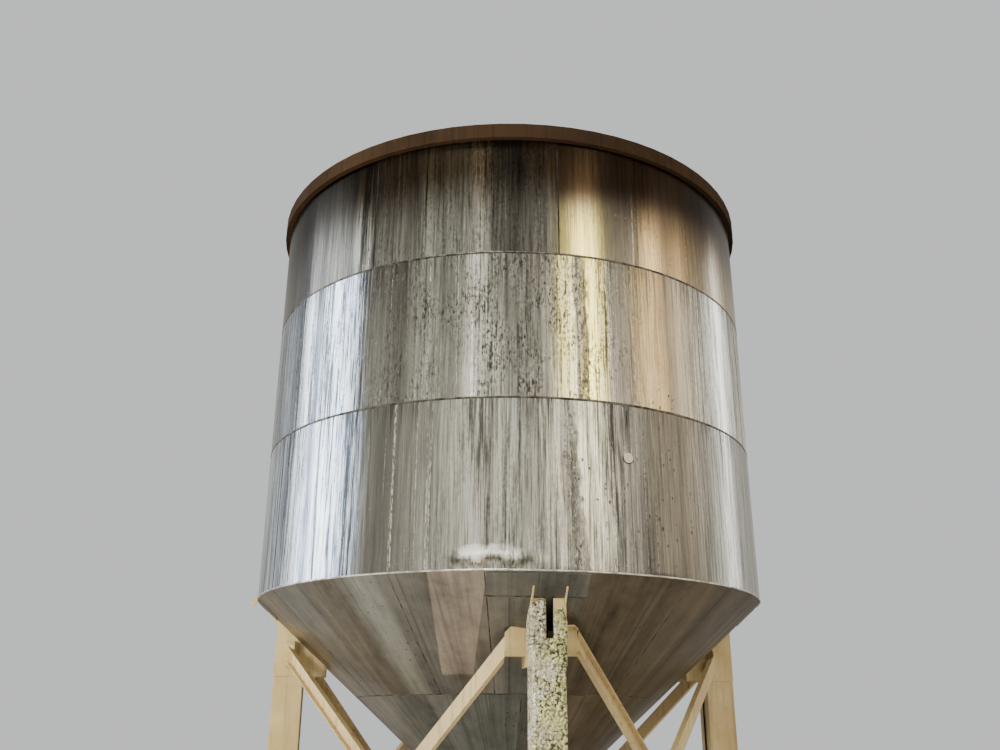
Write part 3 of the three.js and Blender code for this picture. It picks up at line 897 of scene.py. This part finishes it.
# Path round three sides of the leg, seen from above: straight sides joined by quarter circles
def legWrap(step):
    radius, reachBack = crust["round"], crust["reachBack"]
    half, front = legHalf - radius, -legFront + radius
    side = np.arange(0, reachBack - radius, step)
    corner = np.linspace(0, quarterTurn, 4)
    sine, cosine = np.sin(corner), np.cos(corner)
    # each stretch gives x, y and the normal's x and y
    stretches = [(-legHalf, -legFront + reachBack - side, -1, 0),
                 (-half - radius * cosine, front - radius * sine, -cosine, -sine),
                 (np.arange(-half, half, step)[1:], -legFront, 0, -1),
                 (half + radius * sine, front - radius * cosine, sine, -cosine),
                 (legHalf, front + side[1:], 1, 0)]
    path = np.concatenate([np.stack(np.broadcast_arrays(*stretch), -1) for stretch in stretches])
    points, normals = path[:, :2], path[:, 2:]
    along = np.concatenate([[0], np.cumsum(np.linalg.norm(np.diff(points, axis=0), axis=1))])
    return points, normals, along - along[np.abs(points[:, 0]).argmin()]


# Part of the path between two distances from the leg's middle, with the crust's thickness over it
def crustPatch(name, step, fromLeft, toRight, bottom, top, fadeTop, fadeBottom, fadeSide):
    wrap = legWrap(step)
    points, normals, along = (part[(wrap[2] >= fromLeft) & (wrap[2] <= toRight)] for part in wrap)
    heights = np.arange(bottom, top, step)
    s, z = np.meshgrid(along, heights)
    thick, lump = crust["base"], 0.0
    for form, cell, seed, depth, share in crustLayers:
        layer = form(s, z, cell, seed)
        thick, lump = thick + depth * layer, lump + share * layer
    upper = (top - z) / fadeTop + (hills(s, z, 0.03, 31) - 0.5) * 0.6
    edge = np.minimum(s - s.min(), s.max() - s)
    ragged = edge / fadeSide + (hills(s, z, 0.04, 23) - 0.5) * 0.9 * (edge > 0)
    fade = np.minimum(np.clip(upper, 0, 1), np.clip((z - bottom) / fadeBottom, 0, 1))
    fade = fade * np.clip(ragged, 0, 1) * (top - z > 0.001)
    thick = thick * (1 - crust["thinSides"] * np.abs(normals[:, 0])) * fade - 0.004 * (1 - fade)
    lump = np.clip(0.5 + 0.24 * (lump - lump.mean()) / lump.std(), 0, 1)
    shelf = crust["shelf"] * np.clip((z - crust["gussetFoot"]) / 0.02, 0, 1)
    foot = np.concatenate([points, np.zeros((len(points), 1))], 1)
    outer, inner = (foot + np.stack([normals[:, 0] * (depth + shelf), normals[:, 1] * depth, z], -1)
                    for depth in (thick, np.full(z.shape, -0.008)))
    grid = np.concatenate([outer, inner[::-1]])
    # the two sheets meet all round: the end columns and rows of the inner one lie on the outer one
    grid[len(heights):, 0] = outer[::-1, 0]
    grid[len(heights):, -1] = outer[::-1, -1]
    piece = gridPiece(name, grid, True, False, lump=np.concatenate([lump, lump[::-1]]))
    return mergeDoubles(piece, 1e-6)


# Patches on the leg above its foot: from and to round the leg, bottom, top, and how far each edge fades
left, right = -legHalf - 0.205, legHalf + 0.085
upper = [crustPatch("crust_part", crust["step"], *sizes) for sizes in (
    (-1, 1, 1.18, 2.03, 0.03, 0.02, 0.04), (left, right, 1.995, 2.2, 0.03, 0.02, 0.03),
    (left, -0.017, 2.13, 2.475, 0.06, 0.02, 0.022), (0.029, right, 2.13, 2.42, 0.09, 0.02, 0.014))]
dress(joinPieces("leg_front_crust", upper), crustSkin)
footCrust = crustPatch("leg_front_crust_foot", crust["coarse"], -1, 1, crust["bottom"], 1.2, 0.02, 0.12, 0.04)
dress(footCrust, crustSkin)
print("crust built")


def turnedAbout(piece, index):
    piece.data.transform(Matrix.Rotation(index * quarterTurn, 4, "Z"))
    return piece


# Fillet welds: down each gusset's outer edge where it laps the web, along its foot, along the base's
# sides and across its front. Each has a start, an end and the way it faces
fillet = 0.006
baseTop = 0.0205
gussetTop, gussetFoot = 2.43, 2.0155
runs = [((-legHalf, -legFront - 0.001, baseTop), (legHalf, -legFront - 0.001, baseTop), (0, -1, 1))]
for side in (-1, 1):
    nearWeb, offWeb = side * (legHalf + 0.001), side * (legHalf + 0.004)
    runs += [((nearWeb, -legFront + 0.004, 2.03), (nearWeb, -legFront + 0.004, gussetTop), (side, -1, 0)),
             ((offWeb, -legFront + 0.01, gussetFoot), (offWeb, -1.82, gussetFoot), (side, 0, -1)),
             ((nearWeb, -legFront + 0.01, baseTop), (nearWeb, -legCentre + 0.12, baseTop), (side, 0, 1))]
for index, name in enumerate(legNames):
    fillets = []
    for start, end, outward in runs:
        out = np.array(outward) / np.linalg.norm(outward)
        fillets.append(bead("fillet", np.linspace(start, end, 14), out, fillet, fillet * 0.8))
    dress(turnedAbout(joinPieces(f"leg_{name}_fillets", fillets), index), paintedWeld)
print("fillet welds built")


# Profile of radius and height pairs carried round an upright axis
def turnedProfile(profile, sides, centre, turn=0.0):
    angle = np.linspace(0, 2 * math.pi, sides, endpoint=False) + turn
    radius, height = np.array(profile)[:, :, None].transpose(1, 0, 2)
    ring = np.broadcast_arrays(radius * np.cos(angle), radius * np.sin(angle), height)
    return mergeDoubles(gridPiece("profile", np.array(centre) + np.stack(ring, -1), False, True), 1e-6)


# Bolt: washer, six-sided nut and rounded rod
def boltSet(centre, size, rod):
    thin, wide, across, neck, high = size * 0.16, size * 0.86, size * 0.8, size * 0.46, rod * 0.94
    return [turnedProfile([(0, 0), (size, 0), (size, thin), (0, thin)], 20, centre),
            turnedProfile([(0, thin), (across, thin), (wide, size * 0.24), (wide, size * 0.9),
                           (size * 0.76, size), (0, size)], 6, centre, turn=centre[0] * 7),
            turnedProfile([(0, size), (neck, size), (neck, high), (size * 0.38, rod), (0, rod)], 14, centre)]


anchors = {"size": 0.026, "rod": 0.062, "across": 0.255, "deep": 0.135, "seat": 0.0202}
anchorSets = []
for index in range(4):
    for sideX in (-1, 1):
        for sideY in (-1, 1):
            place = (sideX * anchors["across"], -legCentre + sideY * anchors["deep"], anchors["seat"])
            bolt = boltSet(place, anchors["size"], anchors["rod"])
            anchorSets += [turnedAbout(part, index) for part in bolt]
dress(joinPieces("anchor_bolts", anchorSets), boltMetal, sharp=30)

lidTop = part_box("manway_lid")[1].z
lidCentre, lidRing = 1.35, 0.28
lidBolts = []
for angle in np.radians(range(0, 360, 24)):
    place = (lidRing * math.sin(angle), lidCentre + lidRing * math.cos(angle), lidTop)
    lidBolts += boltSet(place, 0.014, 0.026)
dress(joinPieces("manway_bolts", lidBolts), boltMetal, sharp=30)

# Handle on the manway lid: a bent rod
handle = {"rise": 0.075, "reach": 0.11, "curve": 0.03, "rod": 0.008}
bend = np.linspace(0, quarterTurn, 7)
nearBend, farBend = (handle["reach"] - handle["curve"] * (1 - turn) for turn in (np.cos(bend), np.sin(bend)))
climb, fall = (handle["rise"] - handle["curve"] * (1 - turn) for turn in (np.sin(bend), np.cos(bend)))
aside = np.concatenate([[-handle["reach"]], -nearBend, farBend, [handle["reach"]]])
above = np.concatenate([[-0.002], climb, fall, [-0.002]])
path = np.stack([aside, np.full(16, lidCentre), lidTop + above], -1)
rod = bead("manway_handle", path, (0.0, 1.0, 0.0), handle["rod"], handle["rod"], sides=14)
dress(rod, roofSteel)
print("bolts and handle built")


# Floor
stage = addObject("floor", bpy.data.meshes.new("floor"))
stage.data.from_pydata([(-60, -60, 0), (60, -60, 0), (60, 60, 0), (-60, 60, 0)], [], [(0, 1, 2, 3)])
paleFloor, _ = startMaterial("pale_floor")
feed(paleFloor.node_tree.nodes["Principled BSDF"], {"Base Color": (0.62, 0.61, 0.59), "Roughness": 0.9})
stage.data.materials.append(paleFloor)

# The world lights the tank brighter near the horizon than overhead, and shows plain and pale behind it
studio = {
    "climb": [(0.0, 0.62), (0.28, 0.60), (0.40, 0.50), (0.46, 0.34), (0.54, 0.12), (1.0, 0.05)],
    "tint": (1.0, 0.97, 0.90),
    "behind": (0.70, 0.71, 0.72),
}
world = bpy.data.worlds.new("studio")
bpy.context.scene.world = world
world.use_nodes = True
sky = world.node_tree
overhead = parts(Value(newNode(sky, "TexCoord", {}), "Generated"))[2]
domeStops = [(rise, tuple(bright * part for part in studio["tint"])) for rise, bright in studio["climb"]]
dome = sky.nodes["Background"]
feed(dome, {"Color": ramp(overhead, domeStops)})
behind = newNode(sky, "Background", {"Color": studio["behind"]})
seen = Value(newNode(sky, "LightPath", {}), "Is Camera Ray")
choose = newNode(sky, "MixShader", {0: seen, 1: Value(dome), 2: Value(behind)})
feed(sky.nodes["World Output"], {0: Value(choose)})

# Soft boxes: degrees round the tank, distance, height, width and height of the box, watts, colour
softBoxes = {
    "leftCool": (-92.5, 10, 6.8, 5.4, 7, 520, (0.84, 0.92, 1.0)),
    "frontWarm": (22.5, 10, 6.6, 1.5, 6.6, 235, (1.0, 0.92, 0.72)),
    "rightTan": (62.4, 10, 6.6, 3.6, 6.4, 190, (1.0, 0.84, 0.62)),
    "rightEdge": (99, 10, 6.6, 1.2, 6.4, 90, (0.90, 0.95, 1.0)),
    "frontKey": (-24, 9, 18.5, 5, 5, 2800, (1.0, 0.97, 0.90)),
    "backFill": (180, 14, 10, 8, 6, 900, (1.0, 0.98, 0.95)),
    "lowFill": (-52, 8, 3, 3, 2, 600, (1.0, 0.96, 0.88)),
}
aimHeight = 4.0
for name, (degrees, distance, height, width, tall, watts, colour) in softBoxes.items():
    lamp = bpy.data.lights.new(name, "AREA")
    lamp.shape = "RECTANGLE"
    lamp.size, lamp.size_y = width, tall
    lamp.energy = watts
    lamp.color = colour
    box = addObject(name, lamp)
    angle = math.radians(degrees)
    tip = quarterTurn - math.atan2(height - aimHeight, distance)
    box.location = aroundTank(distance, angle, height)
    box.rotation_euler = (Matrix.Rotation(angle, 4, "Z") @ Matrix.Rotation(tip, 4, "X")).to_euler()
    box.visible_camera = False
    box.visible_glossy = name != "lowFill"

# Camera at the photograph's place
lens = {"place": (-1.259, -8.890, 1.6), "heading": 82.5, "pitch": 20.40, "roll": 0.31, "focal": 34.24}
heading, pitch, roll = (math.radians(lens[key]) for key in ("heading", "pitch", "roll"))
forward = aroundTank(math.cos(pitch), heading + quarterTurn, math.sin(pitch))
level = aroundTank(1.0, heading, 0.0)
upward = np.cross(level, forward)
right = level * math.cos(roll) + upward * math.sin(roll)
above = upward * math.cos(roll) - level * math.sin(roll)
camera = addObject("camera", bpy.data.cameras.new("camera"))
rows = [(right[axis], above[axis], -forward[axis], lens["place"][axis]) for axis in range(3)]
camera.matrix_world = Matrix((*rows, (0, 0, 0, 1)))
camera.data.lens = lens["focal"]
bpy.context.scene.camera = camera
print("stage, light and camera ready")
